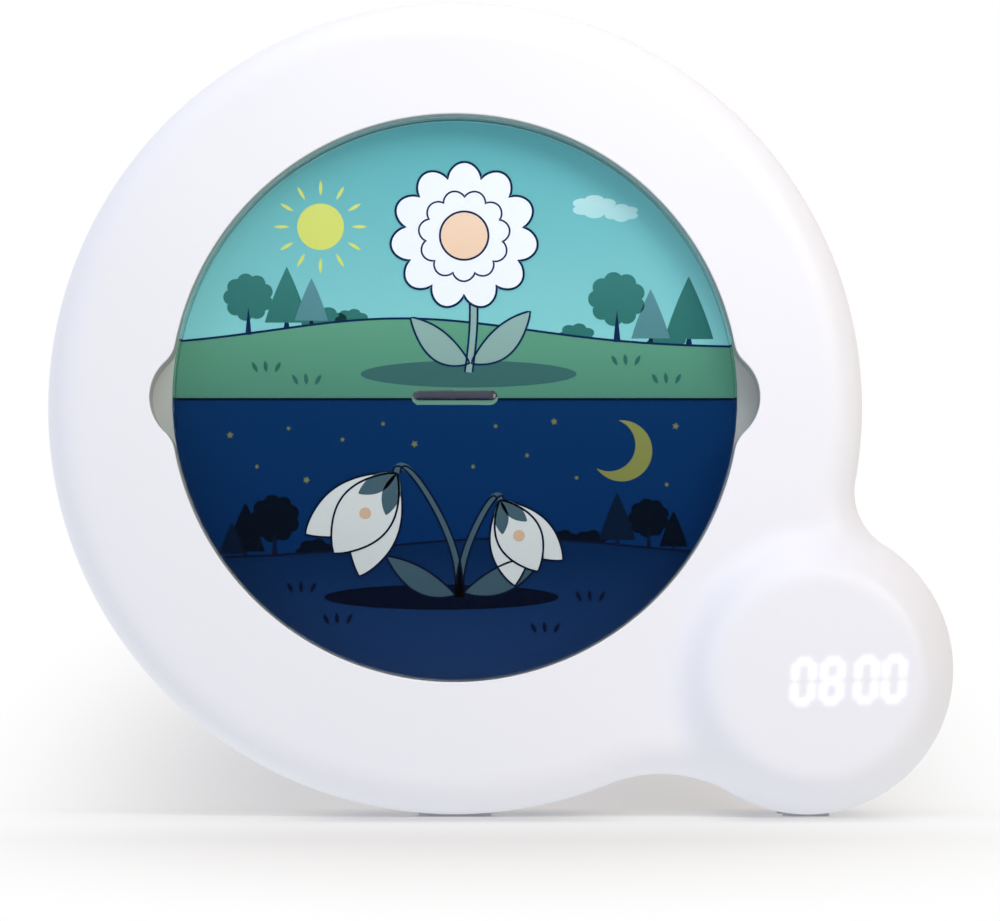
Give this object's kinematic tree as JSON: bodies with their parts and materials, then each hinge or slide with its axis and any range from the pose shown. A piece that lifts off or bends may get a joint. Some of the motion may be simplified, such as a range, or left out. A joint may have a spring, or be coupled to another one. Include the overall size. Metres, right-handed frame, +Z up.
{
  "type": "alarm clock",
  "caption": "Round lit picture window alarm clock for a child's room, with a digital clock dome, a lift-off clear cover, sprung keys and a battery door.",
  "frame": {"origin": "on the standing surface, below the middle of the housing", "axes": "+X to the right, -Y to the front where the picture and the clock are, +Z up"},
  "size_m": [0.2008, 0.05, 0.1815],
  "materials": {
    "white_shell": "satin white moulded ABS",
    "clear_plastic": "clear moulded polystyrene",
    "printed_film": "printed translucent film",
    "grey_plastic": "grey moulded ABS",
    "opal_plastic": "opal acrylic",
    "white_inner_plastic": "white moulded polypropylene",
    "circuit_board": "green solder mask over glass fibre",
    "led_package": "moulded package with phosphor",
    "tinted_film": "tinted film",
    "black_plastic": "black moulded plastic",
    "button_plastic": "soft grey moulded ABS",
    "steel_basket": "black painted pressed steel",
    "ferrite": "sintered ferrite",
    "cone_paper": "pressed paper cone",
    "battery_jacket": "plain printed jacket over steel",
    "nickel_plate": "nickel plated spring steel",
    "zinc_steel": "zinc plated steel",
    "rubber_pad": "grey silicone rubber"
  },
  "bodies": {
    "root": {"front_shell": "white_shell", "rear_shell": "white_shell", "picture_card": "printed_film", "picture_frame": "grey_plastic", "day_diffuser": "opal_plastic", "night_diffuser": "opal_plastic", "light_box": "white_inner_plastic", "day_led_board": "circuit_board", "night_led_board": "circuit_board", "day_leds": "led_package", "night_leds": "led_package", "display_module": "grey_plastic", "display_film": "tinted_film", "display_board": "circuit_board", "main_board": "circuit_board", "board_components": "black_plastic", "tact_switches": "grey_plastic", "mode_switch": "grey_plastic", "speaker_basket": "steel_basket", "speaker_magnet": "ferrite", "speaker_cone": "cone_paper", "power_jack": "black_plastic", "power_board": "circuit_board", "battery_cell_lower": "battery_jacket", "battery_cell_middle": "battery_jacket", "battery_cell_upper": "battery_jacket", "battery_contacts": "nickel_plate", "battery_springs": "nickel_plate", "housing_screws": "zinc_steel", "light_box_screws": "zinc_steel", "main_board_screws": "zinc_steel", "display_screws": "zinc_steel", "speaker_screws": "zinc_steel", "front_feet": "rubber_pad", "rear_feet": "rubber_pad"},
    "cover": {"clear_cover": "clear_plastic"},
    "door": {"battery_door": "white_shell", "door_screw": "zinc_steel"},
    "mode_knob": {"mode_slider": "grey_plastic"},
    "clock_key": {"clock_button": "button_plastic"},
    "alarm_key": {"alarm_button": "button_plastic"},
    "minus_key": {"minus_button": "button_plastic"},
    "plus_key": {"plus_button": "button_plastic"}
  },
  "joints": [
    {"name": "cover_lift", "type": "slide", "parent": "root", "child": "cover", "axis": [0, -1, 0], "range_m": [0, 0.04]},
    {"name": "door_swing", "type": "hinge", "parent": "root", "child": "door", "pos_m": [-0.00989, 0.025, 0.0825], "axis": [1, 0, 0], "range_deg": [0, 75]},
    {"name": "mode_slide", "type": "slide", "parent": "root", "child": "mode_knob", "axis": [1, 0, 0], "range_m": [-0.002, 0.002]},
    {"name": "clock_press", "type": "slide", "parent": "root", "child": "clock_key", "axis": [0, -1, 0], "range_m": [0, 0.001], "stiffness_N_per_m": 800, "springref_m": -0.0002},
    {"name": "alarm_press", "type": "slide", "parent": "root", "child": "alarm_key", "axis": [0, -1, 0], "range_m": [0, 0.001], "stiffness_N_per_m": 800, "springref_m": -0.0002},
    {"name": "minus_press", "type": "slide", "parent": "root", "child": "minus_key", "axis": [0, -1, 0], "range_m": [0, 0.001], "stiffness_N_per_m": 800, "springref_m": -0.0002},
    {"name": "plus_press", "type": "slide", "parent": "root", "child": "plus_key", "axis": [0, -1, 0], "range_m": [0, 0.001], "stiffness_N_per_m": 800, "springref_m": -0.0002}
  ]
}
